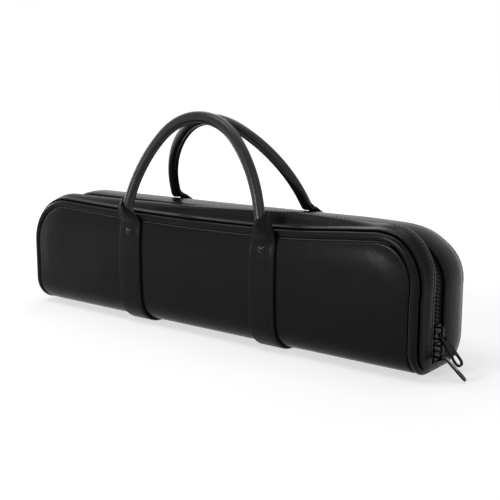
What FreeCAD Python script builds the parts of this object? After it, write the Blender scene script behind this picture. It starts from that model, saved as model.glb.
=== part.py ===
import FreeCAD, Part
import math
import os

# A soft leather flute case that stands on its long narrow side.
# One wrapped panel makes the front, the bottom and the back. A gusset band fills both ends and the
# top, and a zip with two sliders parts the case in two halves that fold about the bottom.
# Each half carries two straps and a rolled handle. The back half holds the padded cradle.
# X runs along the case, the front faces -Y, Z is up, and the straps stand on Z = 0.

Vector = FreeCAD.Vector

# Overall leather body
case_length = 420.0
case_height = 106.0
case_depth = 75.0
top_sag = 4.0
top_corner_radius = 45.0
bottom_fold_radius = 22.0
edge_radius = 8.0
zip_forward = 9.0
split_gap = 0.3

# Walls, from the outside in
leather_thickness = 1.8
board_thickness = 2.0
lining_thickness = 1.6
foam_gap = 0.3

# Rolled welt along the edge of the wrapped panel
welt_radius = 3.2
welt_proud = 0.8
welt_turn = 20.0

# Zip
zip_opening = 17.5
zip_low_above_bottom = 8.6
tape_thickness = 0.8
tape_underlap = 6.0
tape_clearance = 0.2
tooth_pitch = 3.0
tooth_width = 1.3
tooth_thickness = 2.4
tooth_mesh = 0.5
tooth_root = 2.4
bead_width = 1.0
short_tooth_tip = 1.5
stop_length = 1.2
stop_wall = 0.5

# Zip sliders
slider_length = 12.5
slider_head_width = 9.8
slider_tail_width = 8.8
slider_corner_radius = 1.6
slider_plate = 1.1
slider_tooth_clearance = 0.25
slider_side_clearance = 0.3
slider_slot_clearance = 0.35
slider_neck_width = 2.0
slider_neck_length = 3.4
slider_neck_setback = 0.8
lower_slider_height = 19.0
slider_spacing = 13.8
bridge_width = 2.4
bridge_length = 10.0
bridge_wall = 1.2
bridge_clearance = 3.4

# Zip pulls
pull_length = 28.0
pull_thickness = 1.6
pull_eye_width = 5.6
pull_eye_wall = 1.0
pull_eye_length = 7.0
pull_end_width = 8.5
pull_window_wall = 1.5
pull_window_length = 8.0
pull_pivot_rise = 0.4
pull_floor_gap = 0.5
upper_pull_lean = 38.0
upper_pull_twist = -10.0
lower_pull_twist = 20.0

# Straps and rivets
strap_spacing = 146.0
strap_width = 25.0
strap_thickness = 2.5
hinge_below_top = 13.0
hinge_gap = 0.3
rivet_below_hinge = 9.0
rivet_head_radius = 2.6
rivet_head_height = 1.5
rivet_shank_radius = 1.2
burr_radius = 3.0
burr_thickness = 0.8

# Handles
handle_radius = 4.6
handle_core_radius = 3.0
handle_core_clearance = 0.1
handle_tab_thickness = 2.6
handle_tab_clearance = 1.6

# Bends of a tab between its hinge and the rolled part: how far out, how high, how many
# degrees off upright, and the share of the way from the flat strap to the round roll
front_tab_bends = ((1.2, 7.0, 0.0, 0.5),)
back_tab_bends = ((-2.1, 8.9, 33.0, 0.15), (-8.9, 14.4, 63.0, 0.4), (-15.1, 15.9, 62.0, 0.75))

# The front handle stands nearly upright
front_handle_lean = 10.0
front_tab_out = 1.8
front_tab_height = 14.0
front_arch_height = 79.0
front_arch_top_radius = 55.0
front_arch_turn = 45.0
front_leg_angle = 17.0

# The back handle is laid over the edge of the top and leans on towards the front one
back_handle_lean = 27.5
back_tab_out = -19.7
back_tab_height = 19.4
back_arch_height = 79.2
back_arch_top_radius = 49.5
back_arch_turn = 33.0
back_leg_angle = 11.5

# Padding inside
rim_step = 7.0
recess_wall = 7.0
recess_depth = 27.0
body_joint_radius = 17.0
body_joint_length = 350.0
head_joint_radius = 14.0
head_joint_length = 225.0
foot_joint_length = 112.0
joint_divider = 13.0

# One overrun serves every cut
overrun = 20.0

# Shares
aligned_share = 0.5
round_share = math.sqrt(2) / 2
waist_round_share = 0.8

zip_y = -zip_forward
half_length = case_length / 2
half_depth = case_depth / 2
corner_x = half_length - top_corner_radius
corner_z = case_height - top_corner_radius
sag_radius = (corner_x**2 + top_sag**2) / (2 * top_sag) - top_corner_radius
sag_z = case_height - top_sag + sag_radius
zip_low = strap_thickness + zip_low_above_bottom
zip_inset = leather_thickness + tape_thickness / 2
upper_slider_height = lower_slider_height + slider_spacing
hinge_height = case_height - hinge_below_top
hinge_y = half_depth + handle_tab_clearance + handle_tab_thickness / 2
sides = {"front": -1, "back": 1}
ends = {"left": -1, "right": 1}


def save(name, shape):
    shape.exportStep("parts/" + name + ".step")


def block(low, high):
    size = high - low
    return Part.makeBox(size.x, size.y, size.z, low)


def prism(points, along):
    return Part.Face(Part.makePolygon(points + points[:1])).extrude(along)


def turned(shape, centre, axis, degrees):
    shape = shape.copy()
    shape.rotate(centre, axis, degrees)
    return shape


def on_corner(inset, degrees, side):
    """A point on the top corner arc, measured up from the end of the case."""
    radius = top_corner_radius - inset
    angle = math.radians(degrees)
    return Vector(side * (corner_x + radius * math.cos(angle)), 0, corner_z + radius * math.sin(angle))


def corner_sweep():
    """The angle at which the corner arc runs into the sagging top."""
    return math.degrees(math.atan2(sag_z - corner_z, -corner_x))


def outline_edges(inset, low):
    """The end, top and other end of the case seen from the front, right to left."""
    sweep = corner_sweep()
    start = Vector(half_length - inset, 0, low)
    right = [on_corner(inset, share * sweep, 1) for share in (0, 1 / 2, 1)]
    left = [on_corner(inset, share * sweep, -1) for share in (1, 1 / 2, 0)]
    middle = Vector(0, 0, case_height - top_sag - inset)
    return [
        Part.LineSegment(start, right[0]).toShape(),
        Part.Arc(*right).toShape(),
        Part.Arc(right[-1], middle, left[0]).toShape(),
        Part.Arc(*left).toShape(),
        Part.LineSegment(left[-1], Vector(-start.x, 0, low)).toShape(),
    ]


def band_prism(inset):
    """Everything inside the ends and the top, open at the bottom."""
    edges = outline_edges(inset, -overrun)
    closing = Part.LineSegment(edges[-1].Vertexes[-1].Point, edges[0].Vertexes[0].Point).toShape()
    face = Part.Face(Part.Wire(edges + [closing]))
    face.translate(Vector(0, -case_depth, 0))
    return face.extrude(Vector(0, 2 * case_depth, 0))


def fold_prism(inset):
    """Everything inside the wrapped panel, open at the top."""
    half = half_depth - inset
    low = strap_thickness + inset
    radius = bottom_fold_radius - inset
    high = case_height + overrun
    diagonal = radius * (1 - round_share)
    edges = [
        Part.LineSegment(Vector(0, -half, high), Vector(0, -half, low + radius)),
        Part.Arc(
            Vector(0, -half, low + radius),
            Vector(0, diagonal - half, low + diagonal),
            Vector(0, radius - half, low),
        ),
        Part.LineSegment(Vector(0, radius - half, low), Vector(0, half - radius, low)),
        Part.Arc(
            Vector(0, half - radius, low),
            Vector(0, half - diagonal, low + diagonal),
            Vector(0, half, low + radius),
        ),
        Part.LineSegment(Vector(0, half, low + radius), Vector(0, half, high)),
        Part.LineSegment(Vector(0, half, high), Vector(0, -half, high)),
    ]
    face = Part.Face(Part.Wire([edge.toShape() for edge in edges]))
    face.translate(Vector(-case_length, 0, 0))
    return face.extrude(Vector(2 * case_length, 0, 0))


def sharp_edges(solid):
    """The edges where two faces meet at a corner, not the ones where they run on smoothly."""
    found = []
    for edge in solid.Edges:
        faces = solid.ancestorsOfType(edge, Part.Face)
        middle = edge.valueAt((edge.FirstParameter + edge.LastParameter) / 2)
        normals = [face.normalAt(*face.Surface.parameter(middle)) for face in faces]
        if len(normals) == 2 and abs(normals[0].dot(normals[1])) < aligned_share:
            found.append(edge)
    return found


def case_body(band_inset, panel_inset):
    """The whole case drawn in by one distance at the band and another at the panel."""
    solid = band_prism(band_inset).common(fold_prism(panel_inset)).removeSplitter()
    return solid.makeFillet(edge_radius - max(band_inset, panel_inset), sharp_edges(solid))


def divided(edge):
    """A straight run or an arc in equal parts, none much longer than the top corner's radius."""
    count = math.ceil(edge.Length / top_corner_radius)
    step = (edge.LastParameter - edge.FirstParameter) / count
    starts = [edge.FirstParameter + index * step for index in range(count)]
    return [edge.Curve.toShape(start, start + step) for start in starts]


def rod_along(edges, radius):
    """A round rod along straight runs and arcs that run on smoothly."""
    lengths = []
    for edge in edges:
        start = edge.valueAt(edge.FirstParameter)
        along = edge.tangentAt(edge.FirstParameter)
        disc = Part.Face(Part.Wire(Part.Circle(start, along, radius).toShape()))
        if isinstance(edge.Curve, Part.Circle):
            degrees = math.degrees(edge.LastParameter - edge.FirstParameter)
            lengths.append(disc.revolve(edge.Curve.Center, edge.Curve.Axis, degrees))
        else:
            lengths.append(disc.extrude(along * edge.Length))
    return lengths[0].multiFuse(lengths[1:])


def half_space(side, start):
    """All that lies beyond start, measured from the zip towards the front or the back."""
    near = zip_y + side * start
    far = side * case_depth
    return block(
        Vector(-case_length, min(near, far), -case_height),
        Vector(case_length, max(near, far), 2 * case_height),
    )


def slab(side, near, far, low):
    """A layer beside the zip plane between two distances from it, above a height."""
    ys = sorted((zip_y + side * near, zip_y + side * far))
    return block(Vector(-case_length, ys[0], low), Vector(case_length, ys[1], 2 * case_height))


def welt_tube(side):
    """The roll along the edge of the wrapped panel, from the bottom of one end to the other."""
    reach = edge_radius + welt_proud - welt_radius
    inset = edge_radius - reach * math.sin(math.radians(welt_turn))
    depth = edge_radius - reach * math.cos(math.radians(welt_turn))
    fold = bottom_fold_radius - depth
    low = strap_thickness + depth
    face_y = side * (half_depth - depth)
    fold_y = side * (half_depth - bottom_fold_radius)
    halfway = fold * round_share
    x = half_length - inset
    start_y = zip_y + side * split_gap / 2
    upright = outline_edges(inset, low + fold)
    for edge in upright:
        edge.translate(Vector(0, face_y, 0))

    def foot(end):
        arc = Part.Arc(
            Vector(end * x, fold_y, low),
            Vector(end * x, fold_y + side * halfway, low + fold - halfway),
            Vector(end * x, face_y, low + fold),
        )
        line = Part.LineSegment(Vector(end * x, start_y, low), Vector(end * x, fold_y, low))
        return [line.toShape(), arc.toShape()]

    parts = [part for edge in upright for part in divided(edge)]
    return rod_along(foot(1) + parts + foot(-1), welt_radius)


def strap(side, end):
    """One strap from the handle hinge down the face and round to the middle of the bottom."""
    x = end * strap_spacing / 2
    top = hinge_height - handle_tab_thickness / 2 - hinge_gap
    near = split_gap / 2
    band = fold_prism(-strap_thickness).cut(fold_prism(0))
    ys = sorted((zip_y + side * near, side * case_depth))
    return band.common(
        block(Vector(x - strap_width / 2, ys[0], -overrun), Vector(x + strap_width / 2, ys[1], top))
    )


def rivet_places(side):
    height = hinge_height - rivet_below_hinge
    return [Vector(end * strap_spacing / 2, side * half_depth, height) for end in ends.values()]


def rivet(side, place):
    """A domed head on the strap and a shank that runs through strap, leather and board."""
    outward = Vector(0, side, 0)
    seat = place + outward * strap_thickness
    dome = (rivet_head_radius**2 + rivet_head_height**2) / (2 * rivet_head_height)
    ball = Part.makeSphere(dome, seat + outward * (rivet_head_height - dome))
    head = ball.common(Part.makeCylinder(2 * dome, 2 * dome, seat, outward))
    depth = strap_thickness + leather_thickness + board_thickness
    shank = Part.makeCylinder(rivet_shank_radius, depth, seat, outward * -1)
    return head.fuse(shank).removeSplitter()


def burr(side, place):
    """The washer that the shank is set in, behind the board."""
    inward = Vector(0, -side, 0)
    seat = place + inward * (leather_thickness + board_thickness)
    return Part.makeCylinder(burr_radius, burr_thickness, seat, inward)


def zip_path():
    """The zip's run up the right end, over the top and down the left end, as lengths and a point."""
    low = Vector(half_length - zip_inset, 0, zip_low)
    sweep = math.radians(corner_sweep())
    radius = top_corner_radius - zip_inset
    rise = corner_z - zip_low
    dip = sag_radius + zip_inset
    tilt = math.pi / 2 - (math.pi - sweep)
    lengths = [rise, radius * sweep, dip * 2 * abs(tilt), radius * sweep, rise]

    def at(distance):
        """The point at a distance along the zip, and the direction that points out of the case."""
        for index, length in enumerate(lengths):
            if distance <= length or index == len(lengths) - 1:
                break
            distance -= length
        if index in (0, 4):
            height = zip_low + distance if index == 0 else corner_z - distance
            side = 1 if index == 0 else -1
            return Vector(side * low.x, 0, height), Vector(side, 0, 0)
        if index in (1, 3):
            turn = distance / radius if index == 1 else sweep - distance / radius
            side = 1 if index == 1 else -1
            out = Vector(side * math.cos(turn), 0, math.sin(turn))
            return Vector(side * corner_x, 0, corner_z) + out * radius, out
        turn = abs(tilt) - distance / dip
        out = Vector(-math.sin(turn), 0, math.cos(turn))
        return Vector(0, 0, sag_z) - out * dip, out

    return sum(lengths), at


def between_sliders(place):
    """True where the two rows are parted round the necks of the sliders."""
    low = lower_slider_height + slider_length / 2 - slider_neck_setback - slider_neck_length
    high = upper_slider_height - slider_length / 2 + slider_neck_setback + slider_neck_length
    margin = tooth_width
    return place.x > 0 and low - margin < place.z < high + margin


def zip_teeth(side):
    """One row of teeth on its bead, moulded together, half a pitch away from the other row."""
    inner = zip_inset + tooth_thickness / 2
    outer = zip_inset - tooth_thickness / 2
    ring = band_prism(outer).cut(band_prism(inner))
    row = ring.common(slab(side, tooth_root, tooth_root + bead_width, zip_low + stop_length))
    length, at = zip_path()
    shift = tooth_pitch / 2 if side > 0 else 0
    count = int((length - 2 * stop_length - tooth_width - shift) / tooth_pitch)
    teeth = []
    for index in range(count):
        place, out = at(stop_length + tooth_width + shift + index * tooth_pitch)
        along = out.cross(Vector(0, 1, 0))
        tip = short_tooth_tip if between_sliders(place) else -tooth_mesh
        corners = [
            place + along * (a * tooth_width / 2) + out * (b * tooth_thickness / 2)
            for a, b in ((-1, -1), (1, -1), (1, 1), (-1, 1))
        ]
        for corner in corners:
            corner.y = zip_y + side * tip
        teeth.append(prism(corners, Vector(0, side * (tooth_root + bead_width / 2 - tip), 0)))
    return row.multiFuse(teeth).removeSplitter()


def zip_stops(side):
    """A crimped clip below the last tooth at each end of the row."""
    reach = tooth_thickness / 2 + stop_wall
    stops = []
    for end in ends.values():
        x = end * (half_length - zip_inset)
        ys = sorted((zip_y + side * short_tooth_tip, zip_y + side * (tooth_root + bead_width)))
        clip = block(Vector(x - reach, ys[0], zip_low), Vector(x + reach, ys[1], zip_low + stop_length))
        stops.append(clip)
    return Part.makeCompound(stops)


def edges_along(solid, axis):
    """The straight edges that run along an axis."""
    return [
        edge
        for edge in solid.Edges
        if abs(edge.tangentAt(edge.FirstParameter).dot(axis)) > aligned_share
    ]


def slider_outline(low, high, up):
    """The slider's plate, wider at its head, drawn about its middle between two depths."""
    head = slider_head_width / 2
    tail = slider_tail_width / 2
    z = up * slider_length / 2
    points = [
        Vector(low, -head, z),
        Vector(low, head, z),
        Vector(low, tail, -z),
        Vector(low, -tail, -z),
    ]
    plate = prism(points, Vector(high - low, 0, 0))
    return plate.makeFillet(slider_corner_radius, edges_along(plate, Vector(1, 0, 0)))


def slider(height, up):
    """Two plates joined at the head by a neck, with flanges that hold the rows, and a bridge."""
    gap = tooth_thickness / 2 + slider_tooth_clearance
    slot = tape_thickness / 2 + slider_slot_clearance
    channel = tooth_root + bead_width + slider_side_clearance
    half = slider_head_width / 2
    solid = slider_outline(-gap - slider_plate, gap + slider_plate, up)
    inside = block(Vector(-gap, -channel, -slider_length), Vector(gap, channel, slider_length))
    slots = block(Vector(-slot, -slider_length, -slider_length), Vector(slot, slider_length, slider_length))
    neck_far = slider_length / 2 - slider_neck_setback
    neck_zs = sorted((up * neck_far, up * (neck_far - slider_neck_length)))
    neck = block(
        Vector(-gap, -slider_neck_width / 2, neck_zs[0]),
        Vector(gap, slider_neck_width / 2, neck_zs[1]),
    )
    solid = solid.cut(inside.fuse(slots)).fuse(neck)
    crown = gap + slider_plate
    arch = block(
        Vector(crown - slider_plate / 2, -bridge_width / 2, -bridge_length / 2),
        Vector(crown + bridge_clearance + bridge_wall, bridge_width / 2, bridge_length / 2),
    )
    across = edges_along(arch, Vector(0, 1, 0))
    shoulders = [edge for edge in across if edge.CenterOfMass.x > crown]
    arch = arch.makeFillet(bridge_wall, shoulders)
    eye = block(
        Vector(crown, -half, bridge_wall - bridge_length / 2),
        Vector(crown + bridge_clearance, half, bridge_length / 2 - bridge_wall),
    )
    solid = solid.fuse(arch.cut(eye)).removeSplitter()
    solid.translate(Vector(half_length - zip_inset, zip_y, height))
    return solid


def pull_pivot(height):
    crown = tooth_thickness / 2 + slider_tooth_clearance + slider_plate
    return Vector(
        half_length - zip_inset + crown + bridge_clearance / 2, zip_y, height + pull_pivot_rise
    )


def pull(height, lean, twist):
    """A flat tab that hangs from a pin under the bridge and ends in a round open loop."""
    eye = pull_eye_width / 2
    end = pull_end_width / 2
    thick = pull_thickness / 2
    round_z = end - pull_length
    points = [
        Vector(-thick, -eye, 0),
        Vector(-thick, eye, 0),
        Vector(-thick, end, round_z),
        Vector(-thick, -end, round_z),
    ]
    tab = prism(points, Vector(pull_thickness, 0, 0))
    tab = tab.fuse(Part.makeCylinder(end, pull_thickness, Vector(-thick, 0, round_z), Vector(1, 0, 0)))
    pin = Part.makeCylinder(thick, pull_eye_width, Vector(0, -eye, 0), Vector(0, 1, 0))
    inner = end - pull_window_wall
    window_z = round_z + pull_window_length - 2 * inner
    window = block(Vector(-end, -inner, round_z), Vector(end, inner, window_z))
    for z in (round_z, window_z):
        hole = Part.makeCylinder(inner, 2 * end, Vector(-end, 0, z), Vector(1, 0, 0))
        window = window.fuse(hole)
    gap = eye - pull_eye_wall
    eye_window = block(Vector(-end, -gap, -pull_eye_length), Vector(end, gap, 0))
    solid = tab.cut(window).cut(eye_window).fuse(pin).removeSplitter()
    solid = turned(solid, Vector(0, 0, 0), Vector(0, 0, 1), twist)
    solid = turned(solid, Vector(0, 0, 0), Vector(0, -1, 0), lean)
    solid.translate(pull_pivot(height))
    return solid


def lower_pull_lean():
    """The lower pull stands off the case so far that its end stays clear of the ground."""
    pivot = pull_pivot(lower_slider_height)
    return math.degrees(math.acos((pivot.z - pull_floor_gap - pull_thickness / 2) / pull_length))


class Handle:
    """One handle: how its plane leans, where its tabs lead and how its arch runs."""

    def __init__(self, side, lean, tab, bends, arch):
        self.side = side
        tilt = math.radians(lean)
        self.up = Vector(0, -side * math.sin(tilt), math.cos(tilt))
        self.tab_out, self.tab_height = tab
        self.bends = bends
        self.height, self.top_radius, turn, leg = arch
        self.turn = math.radians(turn)
        self.leg = math.radians(leg)

    def foot(self, end):
        """The middle of one hinge line."""
        return Vector(end * strap_spacing / 2, self.side * hinge_y, hinge_height)

    def start(self, end):
        """Where the rolled part begins above one hinge line."""
        return self.foot(end) + Vector(0, self.side * self.tab_out, self.tab_height)

    def path(self):
        """Leg, shoulder arc and top arc, then the same on the left, all in one leaning plane."""
        start = self.start(1)
        top = self.top_radius
        top_x = top * math.sin(self.turn)
        rest = self.height - top * (1 - math.cos(self.turn))
        slope = math.tan(self.leg)
        shoulder = (start.x - top_x - slope * rest) / (
            math.cos(self.leg)
            - math.sin(self.turn)
            - slope * (math.cos(self.turn) - math.sin(self.leg))
        )

        def at(x, height):
            return Vector(x, start.y, start.z) + self.up * height

        def on_top(angle):
            return at(top * math.sin(angle), self.height - top * (1 - math.cos(angle)))

        def on_shoulder(angle, end):
            x = top_x + shoulder * (math.cos(angle) - math.sin(self.turn))
            return at(end * x, rest - shoulder * (math.cos(self.turn) - math.sin(angle)))

        high = math.pi / 2 - self.turn
        angles = (self.leg, (self.leg + high) / 2, high)
        right = [on_shoulder(angle, 1) for angle in angles]
        left = [on_shoulder(angle, -1) for angle in reversed(angles)]
        return [
            Part.LineSegment(at(start.x, 0), right[0]).toShape(),
            Part.Arc(*right).toShape(),
            Part.Arc(on_top(self.turn), on_top(0), on_top(-self.turn)).toShape(),
            Part.Arc(*left).toShape(),
            Part.LineSegment(left[-1], at(-start.x, 0)).toShape(),
        ]


def ring_section(centre, across, through, half_across, half_through, corner_share):
    """A closed section of four arcs about a centre."""
    wide = across * (half_across * corner_share)
    deep = through * (half_through * corner_share)
    corner = [centre + wide * a + deep * b for a, b in ((-1, -1), (1, -1), (1, 1), (-1, 1))]
    middle = [
        centre - through * half_through,
        centre + across * half_across,
        centre + through * half_through,
        centre - across * half_across,
    ]
    return Part.Wire([
        Part.Arc(corner[index], middle[index], corner[(index + 1) % 4]).toShape() for index in range(4)
    ])


def handle_tab(handle, end):
    """The strap end above the hinge, which narrows and rolls up into the handle."""
    across = Vector(1, 0, 0)
    through = Vector(0, 1, 0)
    half = strap_width / 2
    thick = handle_tab_thickness / 2
    foot = handle.foot(end)
    corners = [
        foot + across * (a * half) + through * (b * thick) for a, b in ((-1, -1), (1, -1), (1, 1), (-1, 1))
    ]
    top = handle.start(end)
    top_across = across * math.cos(handle.leg) + handle.up * (end * math.sin(handle.leg))
    top_along = across * (-end * math.sin(handle.leg)) + handle.up * math.cos(handle.leg)
    top_through = top_along.cross(top_across)
    sections = [Part.makePolygon(corners + corners[:1])]
    for out, height, tilt, share in handle.bends:
        angle = math.radians(tilt)
        centre = foot + Vector(0, handle.side * out, height)
        ring_through = Vector(0, math.cos(angle), handle.side * math.sin(angle))
        half_wide = half + (handle_radius - half) * share
        half_thick = thick + (handle_radius - thick) * share
        sections.append(ring_section(centre, across, ring_through, half_wide, half_thick, waist_round_share))
    sections.append(ring_section(top, top_across, top_through, handle_radius, handle_radius, round_share))
    body = Part.makeLoft(sections, True, False)
    knuckle = Part.makeCylinder(thick, strap_width, foot - across * half, across)
    return body.fuse(knuckle)


def build_half(name, leather, hollow, boarded, lined, core):
    """Everything of one half that stays together: panel, gusset, welt, board, lining and zip."""
    side = sides[name]
    half = half_space(side, split_gap / 2)
    slot = slab(side, -overrun, zip_opening / 2, zip_low)
    tube = welt_tube(side)
    rivets = [rivet(side, place) for place in rivet_places(side)]
    burrs = [burr(side, place) for place in rivet_places(side)]

    skin = leather.common(half).cut(hollow).cut(tube)
    pieces = sorted(skin.Solids, key=lambda solid: solid.BoundBox.ZMax)
    panel = pieces[0]
    gusset = pieces[-1].cut(slot)
    save(name + "_panel", panel.cut(Part.makeCompound(rivets)))
    save(name + "_gusset", gusset)
    save(name + "_welt", tube.cut(hollow))

    board = hollow.cut(fold_prism(leather_thickness + board_thickness)).common(half)
    save(name + "_stiffener", board.cut(Part.makeCompound(rivets)))
    tape_reach = zip_opening / 2 + tape_underlap
    lining = boarded.cut(lined).common(half)
    zip_room = slab(side, -overrun, tape_reach + tape_clearance, zip_low - tape_clearance)
    lining = lining.cut(zip_room.cut(band_prism(leather_thickness + lining_thickness)))
    save(name + "_lining", lining.cut(Part.makeCompound(burrs)))

    under = case_body(leather_thickness + tape_thickness, leather_thickness + tape_thickness)
    tape = hollow.cut(under).common(slab(side, tooth_root + bead_width, tape_reach, zip_low))
    save(name + "_zip_tape", tape.cut(board))
    save(name + "_zip_teeth", zip_teeth(side))
    save(name + "_zip_stops", zip_stops(side))

    for end_name, end in ends.items():
        save(name + "_strap_" + end_name, strap(side, end).cut(Part.makeCompound(rivets)))
    save(name + "_rivets", Part.makeCompound(rivets))
    save(name + "_rivet_burrs", Part.makeCompound(burrs))

    padding = core.common(half_space(side, rim_step))
    if side > 0:
        padding = padding.cut(recesses())
        save("cradle", padding)
    else:
        save("lid_pad", padding)


def channel(start, length, height, radius):
    """A recess with a half round bottom, open towards the front."""
    face = zip_y + rim_step
    centre_y = face + recess_depth - radius
    trough = Part.makeCylinder(radius, length, Vector(start, centre_y, height), Vector(1, 0, 0))
    mouth = block(
        Vector(start, face - overrun, height - radius), Vector(start + length, centre_y, height + radius)
    )
    return trough.fuse(mouth)


def recesses():
    """The long recess for the body joint below, head joint and foot joint in line above it."""
    low = strap_thickness + leather_thickness + board_thickness + lining_thickness + foam_gap
    body_z = low + recess_wall + body_joint_radius
    upper_z = body_z + 2 * body_joint_radius + recess_wall
    row = head_joint_length + joint_divider + foot_joint_length
    body = channel(-body_joint_length / 2, body_joint_length, body_z, body_joint_radius)
    head = channel(-row / 2, head_joint_length, upper_z, head_joint_radius)
    foot = channel(row / 2 - foot_joint_length, foot_joint_length, upper_z, body_joint_radius)
    return Part.makeCompound([body, head, foot])


def build_handle(name, handle):
    path = handle.path()
    sleeve = rod_along(path, handle_radius)
    bore = rod_along(path, handle_core_radius + handle_core_clearance)
    save(name + "_handle_sleeve", sleeve.cut(bore))
    save(name + "_handle_cord", rod_along(path, handle_core_radius))
    tabs = [handle_tab(handle, end) for end in ends.values()]
    save(name + "_handle_tabs", Part.makeCompound(tabs))


def main():
    os.makedirs("parts", exist_ok=True)
    skin = leather_thickness
    face = skin + board_thickness
    lined = face + lining_thickness
    leather = case_body(0, 0)
    hollow = case_body(skin, skin)
    boarded = case_body(skin, face)
    inside = case_body(skin + lining_thickness, lined)
    core = case_body(skin + lining_thickness + foam_gap, lined + foam_gap)
    for name in sides:
        build_half(name, leather, hollow, boarded, inside, core)
    front_arch = (front_arch_height, front_arch_top_radius, front_arch_turn, front_leg_angle)
    front_tab = (front_tab_out, front_tab_height)
    build_handle("front", Handle(sides["front"], front_handle_lean, front_tab, front_tab_bends, front_arch))
    back_arch = (back_arch_height, back_arch_top_radius, back_arch_turn, back_leg_angle)
    back_tab = (back_tab_out, back_tab_height)
    build_handle("back", Handle(sides["back"], back_handle_lean, back_tab, back_tab_bends, back_arch))
    save("upper_slider", slider(upper_slider_height, -1))
    save("lower_slider", slider(lower_slider_height, 1))
    save("upper_pull", pull(upper_slider_height, upper_pull_lean, upper_pull_twist))
    save("lower_pull", pull(lower_slider_height, lower_pull_lean(), lower_pull_twist))


main()
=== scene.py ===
from math import atan2, copysign, cos, degrees, exp, hypot, pi, radians, sin, sqrt, tan

import bmesh
import bpy
from mathutils import Matrix, Vector, noise


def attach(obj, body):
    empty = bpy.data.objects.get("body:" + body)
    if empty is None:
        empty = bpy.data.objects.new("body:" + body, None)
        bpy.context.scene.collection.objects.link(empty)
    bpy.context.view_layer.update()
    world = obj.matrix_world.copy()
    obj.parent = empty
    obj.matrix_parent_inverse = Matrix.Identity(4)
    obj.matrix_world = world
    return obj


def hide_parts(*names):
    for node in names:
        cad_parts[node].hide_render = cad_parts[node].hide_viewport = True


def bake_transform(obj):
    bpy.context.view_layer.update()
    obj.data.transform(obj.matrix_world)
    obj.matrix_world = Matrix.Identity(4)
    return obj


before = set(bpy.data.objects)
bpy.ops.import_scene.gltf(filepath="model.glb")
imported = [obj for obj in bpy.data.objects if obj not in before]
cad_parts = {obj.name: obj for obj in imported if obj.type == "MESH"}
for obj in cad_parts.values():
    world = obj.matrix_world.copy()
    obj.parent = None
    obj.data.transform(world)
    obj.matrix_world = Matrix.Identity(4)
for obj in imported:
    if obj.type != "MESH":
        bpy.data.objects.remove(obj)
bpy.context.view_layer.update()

# Sizes are in millimetres, as in the part's source, and are turned into metres where a piece is made
MM = 0.001

# Leather body. Sides are told by -1 for the front and 1 for the back, whose edge hardly sags
HALF_LENGTH = 210.0
HEIGHT = 106.0
HALF_DEPTH = 37.5
TOP_SAG = {-1: 4.0, 1: 0.4}
CORNER_RADIUS = 45.0
FOLD_RADIUS = 22.0
EDGE_RADIUS = 8.0
BASE = 2.5
ZIP_Y = -9.0
SPLIT = 0.15
LEATHER = 1.8
BOARD = 2.0
LINING = 1.6

# Welt
WELT_RADIUS = 3.2
WELT_PROUD = 0.8
WELT_TURN = radians(20.0)
WELT_SIDES = 16
WELT_REACH = EDGE_RADIUS + WELT_PROUD - WELT_RADIUS

# Zip: its opening, its tapes and how deep it lies
OPENING = 8.75
ZIP_LOW = 11.1
TAPE_REACH = 14.75
TAPE = 0.8
ZIP_INSET = 2.2

# Straps
STRAP_X = 73.0
STRAP_WIDTH = 25.0
HINGE_Z = 93.0
HINGE_Y = 40.4
RIVET_Z = 84.0

# Handles: how far each plane leans, the arch's height, its top's radius and half angle, and its legs' lean
HANDLE_RADIUS = 4.6
HANDLES = {
    "front": {"lean": 10.0, "arch": 79.0, "top": 55.0, "turn": 45.0, "leg": 17.0},
    "back": {"lean": 27.5, "arch": 79.2, "top": 49.5, "turn": 33.0, "leg": 11.5},
}

# The way of each tab from its hinge to the roll: out from the hinge, up from it
BENDS = {
    "front": ((0.0, 0.0), (1.2, 7.0), (1.8, 14.0)),
    "back": ((0.0, 0.0), (-2.1, 8.9), (-8.9, 14.4), (-15.1, 15.9), (-19.7, 19.4)),
}

# The strip along the bottom that bends when the case unfolds
FOLD_FROM = -3.0
FOLD_TO = -15.0
FOLD_STEPS = 14

SIDES = {"front": -1, "back": 1}
ENDS = {"left": -1, "right": 1}
STOPS = {-1: FOLD_TO, 1: FOLD_FROM}

CORNER_X = HALF_LENGTH - CORNER_RADIUS
CORNER_Z = HEIGHT - CORNER_RADIUS
FOLD_Z = BASE + FOLD_RADIUS
FOLD_Y = HALF_DEPTH - FOLD_RADIUS
HALF_STRAP = STRAP_WIDTH / 2

# Steps along each stretch of the outline
END_ROWS = 12
CORNER_ROWS = 16
TOP_ROWS = 22
FOLD_ROWS = 12
BASE_ROWS = 4
FOOT_ROWS = FOLD_ROWS + BASE_ROWS

# The inside: how deep its surface lies, and how far the lining's edge stands off
INSIDE = LEATHER + BOARD + LINING
INSIDE_Z = BASE + INSIDE
LINING_OPENING = TAPE_REACH + 0.3
LINING_EDGE = 0.1

UP = Vector((0, 0, 1))
BACK = Vector((0, 1, 0))
RIGHT = Vector((1, 0, 0))


def smooth(value):
    """An even step from 0 to 1."""
    value = min(max(value, 0.0), 1.0)
    return value * value * (3 - 2 * value)


def mix(a, b, share):
    return a + (b - a) * share


def spread(low, high, count):
    """Evenly spaced values, both ends included."""
    return [mix(low, high, i / count) for i in range(count + 1)]


def hermite(start, end, leaving, arriving, t):
    """A place on the curve between two others, by its slopes at both."""
    return (
        start * (1 + 2 * t) * (1 - t) ** 2 + leaving * (t * (1 - t) ** 2)
        + end * (t * t * (3 - 2 * t)) + arriving * (t * t * (t - 1))
    )


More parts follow.
